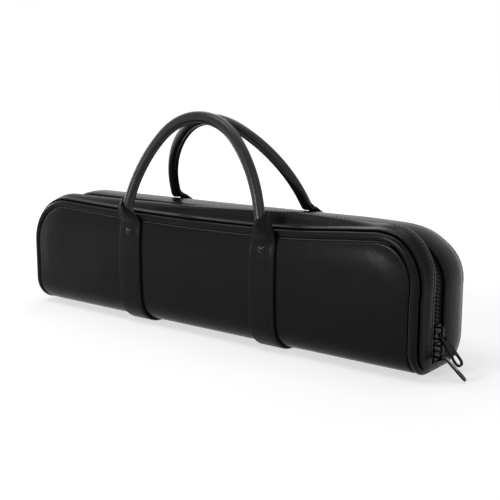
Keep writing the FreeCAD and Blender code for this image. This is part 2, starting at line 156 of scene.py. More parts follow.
def through(table, x):
    """A smooth line through the points of a table."""
    if x <= table[0][0]:
        return table[0][1]
    if x >= table[-1][0]:
        return table[-1][1]
    last = len(table) - 1
    slopes = []
    for i in range(last + 1):
        low, high = table[max(i - 1, 0)], table[min(i + 1, last)]
        slopes.append((high[1] - low[1]) / (high[0] - low[0]))
    i = next(i for i in range(last) if x <= table[i + 1][0])
    (x0, y0), (x1, y1) = table[i], table[i + 1]
    step = x1 - x0
    return hermite(y0, y1, slopes[i] * step, slopes[i + 1] * step, (x - x0) / step)


def mirrored(place):
    """The same place or direction at the other end of the case."""
    return Vector((-place.x, place.y, place.z))


def circle(centre, across, up, radius, sides):
    turns = (2 * pi * j / sides for j in range(sides))
    return [centre + (across * cos(turn) + up * sin(turn)) * radius for turn in turns]


class Line:
    """A line through pairs of a place and a direction, read by the run along it."""

    def __init__(self, pairs):
        self.pairs = pairs
        self.runs = [0.0]
        for (a, _), (b, _) in zip(pairs, pairs[1:]):
            self.runs.append(self.runs[-1] + (b - a).length)
        self.length = self.runs[-1]

    def at(self, run):
        """The place, its direction, and the direction along the line."""
        last = len(self.pairs) - 2
        i = next((i for i in range(last) if run <= self.runs[i + 1]), last)
        (a, n), (b, m) = self.pairs[i], self.pairs[i + 1]
        part = (run - self.runs[i]) / (self.runs[i + 1] - self.runs[i])
        return a.lerp(b, part), n.lerp(m, part).normalized(), (b - a).normalized()


# Materials


def maths_node(tree, operation, *inputs):
    node = tree.nodes.new("ShaderNodeMath")
    node.operation = operation
    for socket, value in zip(node.inputs, inputs):
        if isinstance(value, bpy.types.NodeSocket):
            tree.links.new(value, socket)
        else:
            socket.default_value = value
    return node.outputs[0]


class Nodes:
    """Adds shader nodes to a new material."""

    def __init__(self, name, **values):
        self.material = bpy.data.materials.new(name)
        self.material.use_nodes = True
        self.tree = self.material.node_tree
        self.shader = self.tree.nodes["Principled BSDF"]
        self.place = self.add("ShaderNodeTexCoord").outputs["Object"]
        self.relief = None
        for key, value in values.items():
            self.shader.inputs[key.replace("_", " ")].default_value = value

    def add(self, kind, inputs=(), **settings):
        node = self.tree.nodes.new(kind)
        for key, value in settings.items():
            setattr(node, key, value)
        for key, value in dict(inputs).items():
            if isinstance(value, bpy.types.NodeSocket):
                self.tree.links.new(value, node.inputs[key])
            else:
                node.inputs[key].default_value = value
        return node

    def link(self, value, name):
        self.tree.links.new(value, self.shader.inputs[name])

    def noise(self, scale, detail, rough):
        inputs = {"Vector": self.place, "Scale": scale, "Detail": detail, "Roughness": rough}
        return self.add("ShaderNodeTexNoise", inputs).outputs["Fac"]

    def ramp(self, value, low, high):
        node = self.add("ShaderNodeMapRange", {"Value": value, "To Min": low, "To Max": high})
        return node.outputs["Result"]

    def maths(self, operation, a, b):
        return maths_node(self.tree, operation, a, b)

    def both(self, a, b, share):
        """A mix of two values, with the share of the first."""
        return self.maths("ADD", self.maths("MULTIPLY", a, share), self.maths("MULTIPLY", b, 1 - share))

    def colour(self, value, low, high):
        inputs = {"Factor": value, "A": (*low, 1), "B": (*high, 1)}
        self.link(self.add("ShaderNodeMix", inputs, data_type="RGBA").outputs["Result"], "Base Color")

    def bump(self, height, distance, strength):
        """A relief on top of those before it."""
        inputs = {"Height": height, "Distance": distance, "Strength": strength}
        if self.relief:
            inputs["Normal"] = self.relief
        self.relief = self.add("ShaderNodeBump", inputs).outputs["Normal"]
        self.link(self.relief, "Normal")


def leather(name, dark, light, roughness, grain=1.0, soft=1.0, gloss=0.08):
    """Smooth calf leather: fine pebbled grain, faint creases, broad soft unevenness and a satin finish."""
    nodes = Nodes(name, Roughness=roughness, Specular_IOR_Level=gloss)
    spots = {"Vector": nodes.place, "Scale": 900.0, "Randomness": 1.0}
    cells = nodes.add("ShaderNodeTexVoronoi", spots, feature="DISTANCE_TO_EDGE")
    pebbles = nodes.ramp(cells.outputs["Distance"], 0.0, 1.0)
    fine = nodes.noise(2600.0, 3.0, 0.6)
    broad = nodes.noise(55.0, 3.0, 0.5)
    wide = nodes.noise(14.0, 2.0, 0.5)
    nodes.colour(nodes.both(broad, wide, 0.6), dark, light)
    nodes.link(nodes.ramp(nodes.both(fine, wide, 0.5), roughness - 0.07, roughness + 0.07), "Roughness")
    nodes.bump(broad, 0.0006 * soft, 0.5)
    nodes.bump(pebbles, 0.00008 * grain, 0.5)
    nodes.bump(fine, 0.00003 * grain, 0.5)
    return nodes.material


def woven(name, dark, light, scale, depth):
    """Tape or cloth with crossing threads."""
    nodes = Nodes(name, Roughness=0.9, Specular_IOR_Level=0.05)
    split = nodes.add("ShaderNodeSeparateXYZ", {"Vector": nodes.place})
    waves = [
        nodes.maths("SINE", nodes.maths("MULTIPLY", split.outputs[axis], scale), 0.0)
        for axis in ("X", "Y", "Z")
    ]
    weave = nodes.maths("MULTIPLY", nodes.maths("ADD", waves[0], waves[2]), waves[1])
    height = nodes.ramp(weave, 0.3, 0.7)
    nodes.colour(height, dark, light)
    nodes.bump(height, depth, 0.8)
    return nodes.material


def plush(name, dark, light):
    """Short pile: a soft sheen, brushed patches and a fine nap."""
    nodes = Nodes(name, Roughness=1.0, Sheen_Weight=0.6, Sheen_Roughness=0.4, Specular_IOR_Level=0.1)
    brushed = nodes.noise(60.0, 4.0, 0.6)
    nap = nodes.noise(1800.0, 3.0, 0.7)
    nodes.colour(nodes.both(brushed, nap, 0.5), dark, light)
    nodes.bump(brushed, 0.0012, 0.4)
    nodes.bump(nap, 0.0005, 0.8)
    return nodes.material


def metal(name, dark, light, roughness, gloss=0.1):
    """Black enamelled metal: even and glossy, a little rubbed."""
    nodes = Nodes(name, Roughness=roughness, Specular_IOR_Level=gloss)
    worn = nodes.noise(260.0, 4.0, 0.6)
    nodes.colour(worn, dark, light)
    nodes.link(nodes.ramp(worn, roughness - 0.06, roughness + 0.08), "Roughness")
    nodes.bump(nodes.noise(1500.0, 2.0, 0.5), 0.00002, 0.5)
    return nodes.material


def fibre_board(name):
    nodes = Nodes(name, Roughness=0.85)
    grey = nodes.noise(400.0, 4.0, 0.7)
    nodes.colour(grey, (0.02, 0.02, 0.02), (0.05, 0.048, 0.045))
    nodes.bump(grey, 0.0002, 0.5)
    return nodes.material


def twisted_cord(name):
    nodes = Nodes(name, Roughness=0.95)
    twist = nodes.add("ShaderNodeTexWave", {"Scale": 300.0, "Distortion": 2.0}).outputs["Fac"]
    nodes.colour(twist, (0.36, 0.33, 0.27), (0.5, 0.47, 0.4))
    nodes.bump(twist, 0.0004, 0.8)
    return nodes.material


# The darkest and the lightest colour come first, then the leather's and the metal's roughness
MATERIALS = {
    "panel": leather("panel_leather", (0.00372, 0.00372, 0.00422), (0.0057, 0.0057, 0.00608), 0.26),
    "gusset": leather("gusset_leather", (0.00403, 0.00403, 0.00434), (0.00589, 0.00577, 0.00589), 0.26),
    "welt": leather(
        "welt_leather", (0.00434, 0.00434, 0.00465), (0.00608, 0.00608, 0.00632), 0.24, grain=0.8, soft=0.31,
    ),
    "strap": leather("strap_leather", (0.00384, 0.00384, 0.00415), (0.00558, 0.00558, 0.00583), 0.32),
    "handle": leather(
        "handle_leather", (0.00558, 0.00589, 0.00682), (0.00775, 0.00806, 0.00899), 0.3,
        grain=0.8, soft=0.6, gloss=0.26,
    ),
    "tape": woven("tape_cloth", (0.006, 0.006, 0.0065), (0.014, 0.014, 0.015), 9000.0, 0.0002),
    # Stitch thread: a near-black thread drawn in lighter greys, which are a painted highlight; the weave gives
    # their pattern
    "thread": woven("stitch_thread_painted_highlight", (0.014, 0.014, 0.015), (0.05, 0.05, 0.052), 14000.0, 0.0001),
    "plush": plush("lining_plush", (0.012, 0.012, 0.016), (0.03, 0.031, 0.04)),
    "teeth": metal("teeth_black", (0.006, 0.006, 0.0065), (0.014, 0.014, 0.015), 0.38),
    "slider": metal("slider_black", (0.005, 0.005, 0.0055), (0.012, 0.012, 0.013), 0.26),
    "rivet": metal("rivet_black", (0.001, 0.001, 0.0012), (0.003, 0.003, 0.0032), 0.1, gloss=0.2),
    "board": fibre_board("board_grey"),
    "cord": twisted_cord("handle_core"),
}


# Mesh helpers


class Builder:
    """Collects sheets of points into one mesh."""

    def __init__(self):
        self.points = []
        self.faces = []

    def sheet(self, rows, closed=False):
        """Quads between rows of points. A closed sheet joins the ends of each row."""
        start = len(self.points)
        wide = len(rows[0])
        for row in rows:
            self.points.extend(row)
        for a in range(start, start + (len(rows) - 1) * wide, wide):
            for j in range(wide if closed else wide - 1):
                k = (j + 1) % wide
                self.faces.append((a + j, a + k, a + wide + k, a + wide + j))

    def solid(self, rings):
        """A closed sheet with a cap on each end."""
        self.sheet(rings, closed=True)
        for ring in (rings[0], rings[-1]):
            start = len(self.points)
            self.points.extend(ring)
            self.faces.append(tuple(range(start, start + len(ring))))

    def make(self, name, material, smooth_faces=True):
        """The mesh object, with doubled points joined."""
        mesh = bpy.data.meshes.new(name)
        mesh.from_pydata([tuple(Vector(p) * MM) for p in self.points], [], self.faces)
        work = bmesh.new()
        work.from_mesh(mesh)
        bmesh.ops.remove_doubles(work, verts=work.verts, dist=2e-6)
        bmesh.ops.recalc_face_normals(work, faces=work.faces)
        work.to_mesh(mesh)
        work.free()
        return show(name, mesh, material, smooth_faces)


def show(name, mesh, material, smooth_faces=True):
    """Put a mesh in the scene with its material."""
    for face in mesh.polygons:
        face.use_smooth = smooth_faces
    mesh.materials.clear()
    mesh.materials.append(MATERIALS[material])
    thing = bpy.data.objects.new(name, mesh)
    bpy.context.scene.collection.objects.link(thing)
    return thing


def label(slot, nodes):
    if nodes:
        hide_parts(*nodes)


def dress(thing, body, slot, *nodes):
    """A piece that rides on one body, and the solids that it stands for."""
    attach(thing, body)
    label(slot, nodes)


def joint_blend(thing, first, second, start, end, slot, *nodes):
    """A soft piece across the joint between two bodies: its place is baked into its mesh and the solids that it
    stands for are hidden, but it is not made to bend.
    """
    Vector(start) * MM
    Vector(end) * MM
    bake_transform(thing)
    label(slot, nodes)


# The body's outline


def sag_circle(side):
    """The radius of the top's slight sag and the height of its centre. The soft back edge hardly sags."""
    sag = TOP_SAG[side]
    radius = (CORNER_X**2 + sag**2) / (2 * sag) - CORNER_RADIUS
    return radius, HEIGHT - sag + radius


# How much fuller the soft right corner is than a plain round one, by side. Counted in degrees round the
# corner from its foot, and beyond 90 in millimetres along the top
FULLNESS = {
    -1: (
        (0, 0.0), (15, 2.0), (30, 4.2), (45, 6.0), (60, 6.7), (75, 5.0),
        (90, 3.0), (105, 2.6), (120, 2.0), (135, 1.2), (155, 0.5), (175, 0.0),
    ),
    1: (
        (0, 0.0), (12, 0.8), (25, 1.0), (38, 0.3), (50, -0.8),
        (65, -1.2), (80, -1.4), (90, -1.2), (105, -0.6), (125, 0.0),
    ),
}


def fullness(side, place):
    """How far the outline is moved out at a place on it."""
    if place.x <= 0 or place.z <= CORNER_Z:
        return 0.0
    if place.x > CORNER_X:
        count = degrees(atan2(place.z - CORNER_Z, place.x - CORNER_X))
    else:
        count = 90 + CORNER_X - place.x
    return through(FULLNESS[side], count)


def outline(side):
    """Places on the band from the foot of the right end over the top to that of the left one, each with the
    direction out of the case."""
    radius, centre = sag_circle(side)
    sweep = atan2(centre - CORNER_Z, -CORNER_X)
    right = [(Vector((HALF_LENGTH, 0, z)), RIGHT) for z in spread(FOLD_Z, CORNER_Z, END_ROWS)[:-1]]
    for turn in spread(0, sweep, CORNER_ROWS)[:-1]:
        out = Vector((cos(turn), 0, sin(turn)))
        right.append((Vector((CORNER_X, 0, CORNER_Z)) + out * CORNER_RADIUS, out))
    for turn in spread(sweep - pi / 2, 0, TOP_ROWS)[:-1]:
        out = Vector((-sin(turn), 0, cos(turn)))
        right.append((UP * centre - out * radius, out))
    left = [(mirrored(p), mirrored(n)) for p, n in reversed(right)]
    right = [(p + n * fullness(side, p), n) for p, n in right]
    return right + [(UP * (centre - radius), UP)] + left


OUTLINES = {side: outline(side) for side in SIDES.values()}


def bottom_line(side, stop_y, x, steps):
    """Places along the bottom and round the fold up to the face, with the direction out of the case."""
    line = [(Vector((x, y, BASE)), -UP) for y in spread(stop_y, side * FOLD_Y, BASE_ROWS)[:-1]]
    for turn in spread(pi / 2, 0, steps)[:-1]:
        out = Vector((0, side * cos(turn), -sin(turn)))
        line.append((Vector((x, side * FOLD_Y, FOLD_Z)) + out * FOLD_RADIUS, out))
    return line


def edge_path(side, stop_y):
    """The sharp corner between panel and band: along the bottom of the right end, up it, over and down.
    Each place has the panel's outward direction and the band's."""
    foot = bottom_line(side, stop_y, HALF_LENGTH, FOLD_ROWS)
    right = [(place, out, RIGHT) for place, out in foot]
    over = [(Vector((p.x, side * HALF_DEPTH, p.z)), side * BACK, out) for p, out in OUTLINES[side]]
    return right + over + [(mirrored(place), out, -RIGHT) for place, out in reversed(foot)]


def section_point(sample, deep, inset):
    """A point so far below the panel's surface and so far in from the band."""
    place, panel_out, band_out = sample
    return place - panel_out * deep - band_out * inset


def rounded(sample, turn, radius):
    """A point about the centre of the rounded edge: turn 0 lies on the panel, a quarter turn on the band."""
    place, panel_out, band_out = sample
    centre = place - (panel_out + band_out) * EDGE_RADIUS
    return centre + (panel_out * cos(turn) + band_out * sin(turn)) * radius


def band_distance(x, z, side):
    """How far a point on the face lies in from the band."""
    x = abs(x)
    end = HALF_LENGTH - x
    if x > CORNER_X and z > CORNER_Z:
        return CORNER_RADIUS - hypot(x - CORNER_X, z - CORNER_Z)
    radius, centre = sag_circle(side)
    top = centre - sqrt(max(radius**2 - x * x, 0)) - z
    return min(end, top)


# The soft face's crown. It falls away to the seams, by these shares within these distances, and to its foot.
# The unevenness has a size, its length and height on the face, and a seed
CROWN = 2.6
SEAM_FADES = ((0.6, 18.0), (0.4, 44.0))
FOOT_FADE = 50.0
UNEVEN = ((1.3, 70.0, 45.0, 3.1), (0.3, 28.0, 24.0, 7.7))


def face_swell(x, z, side):
    """How far the soft face stands out."""
    near = band_distance(x, z, side) - EDGE_RADIUS
    fade = sum(share * smooth(near / reach) for share, reach in SEAM_FADES)
    uneven = sum(size * noise.noise(Vector((x / wide, seed, z / high))) for size, wide, high, seed in UNEVEN)
    return fade * smooth((z - BASE) / FOOT_FADE) * (CROWN + uneven)


def on_face(x, place, out, side):
    """The place moved out with the soft face under it."""
    share = max(out.y * side, 0) ** 2
    return Vector((x, place.y, place.z)) + out * (face_swell(x, max(place.z, FOLD_Z), side) * share)


# Leather skins

FLAT_INSET = 14.0

# How the leather turns down beside the welt: in from the band, down from the panel
PANEL_LIP = (
    (11.8, 0.0), (10.7, 0.06), (10.2, 0.3), (9.95, 0.8), (9.95, 1.5),
    (10.2, 2.4), (10.3, 3.3), (9.5, 4.2), (8.2, 4.7),
)
GUSSET_LIP = (
    (3.8, 5.6), (2.7, 5.3), (2.05, 4.7), (1.8, 4.0), (1.65, 3.5),
    (1.35, 3.5), (0.95, 4.0), (0.55, 4.9), (0.27, 5.93),
)


def flat_inset(side, place):
    """How far in from the band the plain face begins."""
    return FLAT_INSET + fullness(side, place)


def shell(build, side, deep, swell, turns):
    """The plain face of one half, so far below the leather's surface, and rows down its fold and bottom."""
    tops = [p - out * flat_inset(side, p) for p, out in OUTLINES[side] if p.z >= CORNER_Z - 1e-6]
    face = []
    for share in spread(0, 1, END_ROWS):
        row = []
        for top in tops:
            z = mix(FOLD_Z, top.z, share)
            row.append(Vector((top.x, side * (HALF_DEPTH - deep + swell * face_swell(top.x, z, side)), z)))
        face.append(row)
    build.sheet(face)
    lower = []
    for turn in spread(0, pi / 2, turns):
        row = []
        for top in tops:
            reach = FOLD_RADIUS - deep + swell * face_swell(top.x, FOLD_Z, side) * cos(turn) ** 2
            row.append(Vector((top.x, side * (FOLD_Y + reach * cos(turn)), FOLD_Z - reach * sin(turn))))
        lower.append(row)
    for y in spread(side * FOLD_Y, STOPS[side], BASE_ROWS)[1:]:
        lower.append([Vector((top.x, y, BASE + deep)) for top in tops])
    return lower


def panel(side, name):
    """The face, the fold and the bottom of one half, and its edge that turns down beside the welt."""
    build = Builder()
    build.sheet(shell(build, side, 0, 1, FOLD_ROWS))
    strip = []
    for sample in edge_path(side, STOPS[side]):
        row = []
        for inset in spread(flat_inset(side, sample[0]), PANEL_LIP[0][0], 4)[:-1]:
            point = section_point(sample, 0, inset)
            row.append(on_face(point.x, point, sample[1], side))
        strip.append(row + [section_point(sample, deep, inset) for inset, deep in PANEL_LIP])
    build.sheet(strip)
    return build.make(name, "panel")


def opening_edge(side, stop_y, path, opening):
    """Where on the zip opening's edge the band ends, for each place on the path. Along the foot that goes
    down the opening's side, then along the end of its slot."""
    edge_y = ZIP_Y + side * opening
    down = FOLD_Z - ZIP_LOW
    along = abs(edge_y - stop_y)
    places = []
    for i, (place, _, _) in enumerate(path):
        from_foot = min(i, len(path) - 1 - i)
        run = (FOOT_ROWS - from_foot) / FOOT_ROWS * (down + along)
        if from_foot >= FOOT_ROWS:
            places.append(Vector((place.x, edge_y, place.z)))
        elif run <= down:
            places.append(Vector((place.x, edge_y, FOLD_Z - run)))
        else:
            places.append(Vector((place.x, edge_y - side * (run - down), ZIP_LOW)))
    return places


# How high the front strip's roll stands along the top, from left to right
ROLL_HEIGHT = (
    (-165, 2.4), (-120, 4.0), (-60, 6.2), (-20, 7.2), (30, 8.8), (88, 9.8), (127, 6.8), (153, 3.8), (165, 2.4),
)
END_ROLL = 1.3
BACK_ROLL = 2.4

# The roll's form from the welt to the zip, as shares of its width and of its height
FRONT_FORM = ((0.0, 0.0), (0.12, 0.26), (0.3, 0.62), (0.5, 0.87), (0.72, 1.0), (0.88, 0.97), (1.0, 0.84))
BACK_FORM = ((0.0, 0.0), (0.2, 0.7), (0.5, 1.0), (0.8, 0.8), (1.0, 0.26))


def gusset_bulge(side, share, place):
    """How far the strip between welt and zip stands out. On top the front one hides the zip."""
    if side > 0:
        return BACK_ROLL * through(BACK_FORM, share)
    on_top = through(ROLL_HEIGHT, place.x)
    up = smooth((place.z - CORNER_Z) / (HEIGHT - CORNER_Z - 4.0))
    return mix(END_ROLL, on_top, up) * through(FRONT_FORM, share)


# Below this width the strip between welt and zip grows flat
NARROW = 10.0

# Its seam beside the zip: in from the edge, the groove's depth and width, and the strip's least width
SEAM_INSET = 3.0
SEAM_DEPTH = 0.4
SEAM_WIDTH = 0.6
SEAM_ROOM = 8.0
BAND_STEPS = 14

# How the strip's edge rolls over at the zip: down, and over the opening
EDGE_TURN = ((0.35, 0.35), (1.1, 0.4))


def on_band(side, sample, begin, target, share):
    """A place on the soft strip between welt and zip. It lies flat where the strip is narrow."""
    place, _, band_out = sample
    room = smooth((target - begin).length / NARROW)
    return begin.lerp(target, share) + band_out * (gusset_bulge(side, share, place) * room)


def gusset(side, name):
    """The band over the ends and the top of one half, from the welt to the zip, and the line of its seam."""
    build = Builder()
    stop_y = ZIP_Y + side * SPLIT
    path = edge_path(side, stop_y)
    rows = []
    seam = []
    for sample, target in zip(path, opening_edge(side, stop_y, path, OPENING)):
        band_out = sample[2]
        row = [section_point(sample, deep, inset) for inset, deep in GUSSET_LIP]
        begin = rounded(sample, pi / 2, EDGE_RADIUS)
        wide = (target - begin).length
        depth = SEAM_DEPTH * smooth(wide / NARROW)
        for share in spread(0, 1, BAND_STEPS):
            off = ((1 - share) * wide - SEAM_INSET) / SEAM_WIDTH
            row.append(on_band(side, sample, begin, target, share) - band_out * (depth * exp(-(off**2))))
        if wide > SEAM_ROOM:
            place = on_band(side, sample, begin, target, 1 - SEAM_INSET / wide)
            seam.append((place - band_out * (0.75 * SEAM_DEPTH), band_out))
        edge = on_band(side, sample, begin, target, 1)
        back_in = (begin - target).normalized() if wide > 1e-6 else side * BACK
        row += [edge - band_out * down - back_in * over for down, over in EDGE_TURN]
        under = target - band_out * LEATHER
        row += [under - back_in * 0.1, under + back_in * min(4.0, wide * 0.4)]
        rows.append(row)
    build.sheet(rows)
    return build.make(name, "gusset"), seam


def welt_ring(sample):
    """The rolled welt's round section at one place on the case's edge."""
    centre = rounded(sample, WELT_TURN, WELT_REACH)
    return circle(centre, sample[1], sample[2], WELT_RADIUS, WELT_SIDES)


# A stitch is a short rounded thread that dips in at both ends: share of its length, thickness, height
STITCH = ((0.0, 0.35, -1.0), (0.12, 0.85, 0.2), (0.5, 1.0, 1.0), (0.88, 0.85, 0.2), (1.0, 0.35, -1.0))
STITCH_LIFT = 0.12

# Stitches along the zip, along the straps and in the points under the rivets: pitch, share of it, radius
BAND_STITCH = (3.3, 0.7, 0.26)
STRAP_STITCH = (3.3, 0.72, 0.38)
POINT_STITCH = (2.9, 0.7, 0.42)


def stitch_line(build, pairs, pitch, share, radius):
    """Evenly spaced stitches along a line of places, each with its outward direction."""
    line = Line(pairs)
    count = int(line.length / pitch)
    for i in range(count):
        step = line.length / count
        start, out, _ = line.at((i + (1 - share) / 2) * step)
        along = line.at((i + (1 + share) / 2) * step)[0] - start
        side = along.normalized().cross(out).normalized()
        build.sheet([
            circle(start + along * part + out * (STITCH_LIFT * height), side, out, radius * size, 6)
            for part, size, height in STITCH
        ], closed=True)


def build_skins():
    for name, side in SIDES.items():
        body = name + "_half"
        dress(panel(side, name + "_hide"), body, "panel_leather", name + "_panel")
        band, seam = gusset(side, name + "_band")
        dress(band, body, "gusset_leather", name + "_gusset")
        threads = Builder()
        stitch_line(threads, seam, *BAND_STITCH)
        dress(threads.make(name + "_band_stitches", "thread"), body, "gusset_leather")
        piping = Builder()
        piping.solid([welt_ring(sample) for sample in edge_path(side, STOPS[side])])
        dress(piping.make(name + "_piping", "welt"), body, "welt_leather", name + "_welt")


build_skins()


# Straps and handles


class Tab:
    """The line of one handle's tabs: up from the hinge, over the edge on the back, and on along the leg."""

    def __init__(self, name):
        self.side = SIDES[name]
        lean = radians(HANDLES[name]["lean"])
        self.up = Vector((0, -self.side * sin(lean), cos(lean)))
        self.leg = radians(HANDLES[name]["leg"])
        places = [Vector((0, self.side * (HINGE_Y + out), HINGE_Z + high)) for out, high in BENDS[name]]
        guide = [places[0] - UP * 6] + places + [places[-1] + self.up * 6]
        steps = []
        for a, b, c, d in zip(guide, guide[1:], guide[2:], guide[3:]):
            steps += [hermite(b, c, (c - a) / 2, (d - b) / 2, t) for t in spread(0, 1, 8)[:-1]]
        steps.append(places[-1])
        along = [(b - a).normalized() for a, b in zip(steps, steps[1:])] + [self.up]
        self.line = Line(list(zip(steps, along)))
        self.foot, self.top = steps[0], steps[-1]
        self.length = self.line.length

    def at(self, run):
        """The place on the line, and the direction that points out of the case there."""
        if run <= 0:
            return self.foot + UP * run, self.side * BACK
        if run >= self.length:
            place, along = self.top + self.up * (run - self.length), self.up
        else:
            place, along, _ = self.line.at(run)
        return place, Vector((0, self.side * along.z, -self.side * along.y))


TABS = {name: Tab(name) for name in SIDES}

# The strap's upper end, by the run along its tab. It stands off the case and lies over the roll.
# Each row: run, lift over the roll, lift at the edges, width of the swelling
LIFTS = {
    "front": (
        (-5, -2.3, -2.3, 9), (0, -1.2, -2.0, 8.5), (4, 1.0, -1.6, 8), (7, 3.2, -1.1, 7.5),
        (11, 4.5, -1.0, 6.8), (14, 5.0, -1.2, 6.3), (22, 5.0, -1.4, 6.0),
    ),
    "back": (
        (-5, -2.3, -2.3, 9), (0, -2.1, -2.2, 9), (7, -1.7, -1.9, 9), (12, -1.3, -1.8, 9), (17, -0.6, -1.6, 8.5),
        (22, 0.8, -1.4, 7.5), (27, 2.2, -1.8, 6.0), (31, 2.5, -2.6, 5.0), (40, 2.5, -3.0, 5.0),
    ),
}

# The inner edge sweeps out across the roll to a tongue that runs up the outside of the leg. The roll begins
# at a run of 14, and places across count outwards
INNER_EDGE = {
    "front": (
        (-2.5, -12.5), (2.0, -10.9), (6.5, -8.0), (10.0, -4.8), (12.5, -1.6), (14.8, 1.4), (17.5, 3.6), (21.4, 5.0),
    ),
    "back": ((-14, -12.5), (-9, -11.2), (-4, -7.6), (1, -5.2), (6, -4.8), (14.5, -4.8)),
}
OUTER_EDGE = {
    "front": ((-2.5, 12.5), (5.0, 12.4), (9.5, 11.4), (13.5, 9.6), (17.5, 7.8), (20.5, 6.4), (21.4, 5.8)),
    "back": tuple((run, -across) for run, across in INNER_EDGE["back"]),
}
TONGUE_TIP = {"front": 21.4, "back": 14.5}
ROLL_BEGINS = 14.0

# The strap on the case ends so far below the hinge line, and its stitches a little lower
STRAP_BELOW = 5.0
STITCH_BELOW = 7.0
STITCH_INSET = 2.3
EDGE_LIFT = 2.3
POINT_LIFT = 2.62

# The rows that meet in a point under the rivet: off the strap's middle and below the rivet, first and last
POINT_ACROSS = (9.4, 0.5)
POINT_DOWN = (3.0, 17.0)

# How far the strap bends below and above the hinge line
BEND_REACH = 4.5

# Across the strap, from one edge inwards: distance from the edge, height above the underside
EDGE_PROFILE = (
    (0.0, 0.0), (-0.05, 0.9), (0.12, 1.75), (0.6, 2.3), (1.3, 2.5), (1.9, 2.45),
    (2.3, 2.2), (2.7, 2.42), (3.6, 2.55), (6.0, 2.6), (9.0, 2.6),
)
STRAP_HIGH = EDGE_PROFILE[-1][1]


def strap_path(side, top):
    """The middle of the strap's underside on the case, with the direction out of the case."""
    out = side * BACK
    face = [(Vector((0, side * HALF_DEPTH, z)), out) for z in spread(FOLD_Z, top, 24)]
    return bottom_line(side, STOPS[side], 0, 14) + face


def strap_ring(ground, out, low=-HALF_STRAP, high=HALF_STRAP):
    """One closed section of a strap between two places across, on a ground that gives its underside. On the
    bottom it is no thicker than the room under the case."""
    width = high - low
    scale = min(1.0, width / 19.0)
    thick = mix(0.55, 1.0, smooth(width / 9.0))
    outer = [(low + d * scale, h * thick) for d, h in EDGE_PROFILE]
    outer.append(((low + high) / 2, STRAP_HIGH * thick))
    outer += [(high - d * scale, h * thick) for d, h in reversed(EDGE_PROFILE)]
    inset = min(1.2, width * 0.2)
    room = BASE if out.z < -0.999 else STRAP_HIGH
    ring = [ground(t) + out * min(h, room) for t, h in outer]
    return ring + [ground(t) for t in spread(high - inset, low + inset, 8)]


def tab_ground(tab, end, run, lifts):
    """The underside of the strap's upper end at one run along the tab."""
    place, out = tab.at(run)
    middle, edge, width = (through([(row[0], row[k]) for row in lifts], run) for k in (1, 2, 3))
    centre = -tan(tab.leg) * max(run - tab.length, 0)

    def ground(t):
        lift = mix(edge, middle, exp(-(((t - centre) / width) ** 2) * 1.1))
        below = smooth((run + 5.0) / 6.0)
        swell = face_swell(end * (STRAP_X + t), place.z, tab.side) * (1 - below)
        return Vector((end * (STRAP_X + t), place.y, place.z)) + out * (lift + swell - 0.6 * (1 - below))

    return ground, out


def strap(name, end, title):
    """One strap from the fold up the face, over the hinge line and out to its tongue."""
    side, tab = SIDES[name], TABS[name]
    build = Builder()
    rings = [
        strap_ring(lambda t: on_face(end * (STRAP_X + t), place, out, side), out)
        for place, out in strap_path(side, HINGE_Z - STRAP_BELOW)
    ]
    shift = tab.length - ROLL_BEGINS
    tip = TONGUE_TIP[name] + shift
    runs = spread(-4.0, tip, int(tip + 4))
    runs = runs[:-1] + [mix(runs[-2], runs[-1], share) for share in (0.5, 0.8, 1.0)]
    for run in runs:
        ground, out = tab_ground(tab, end, run, LIFTS[name])
        low, high = (through(edge[name], run - shift) for edge in (INNER_EDGE, OUTER_EDGE))
        rings.append(strap_ring(ground, out, low, high))
    build.solid(rings)
    return build.make(title, "strap")


def strap_stitches(name, end, title):
    """Rows of stitches along both edges, and the pointed pair that holds the handle's end under the rivet."""
    side = SIDES[name]
    build = Builder()
    front = side * BACK
    for across in (-1, 1):
        line = []
        for place, out in strap_path(side, HINGE_Z - STITCH_BELOW):
            if out.z >= -0.999:
                base = on_face(end * STRAP_X + across * (HALF_STRAP - STITCH_INSET), place, out, side)
                line.append((base + out * EDGE_LIFT, out))
        stitch_line(build, line, *STRAP_STITCH)
        pointed = []
        for share in spread(0, 1, 6):
            x = end * STRAP_X + across * mix(*POINT_ACROSS, share)
            z = RIVET_Z - mix(*POINT_DOWN, share**0.9)
            base = on_face(x, Vector((x, side * HALF_DEPTH, z)), front, side)
            pointed.append((base + front * POINT_LIFT, front))
        stitch_line(build, pointed, *POINT_STITCH)
    return build.make(title, "thread")


def build_straps():
    for name, side in SIDES.items():
        body = name + "_half"
        for end_name, end in ENDS.items():
            node = name + "_strap_" + end_name
            bend = [(0, side * HINGE_Y, z) for z in (HINGE_Z - BEND_REACH, HINGE_Z + BEND_REACH)]
            joint_blend(strap(name, end, node + "_leather"), body, name + "_handle", *bend, "strap_leather", node)
            dress(strap_stitches(name, end, node + "_stitches"), body, "strap_leather")


build_straps()


HANDLE_STEP = 3.0


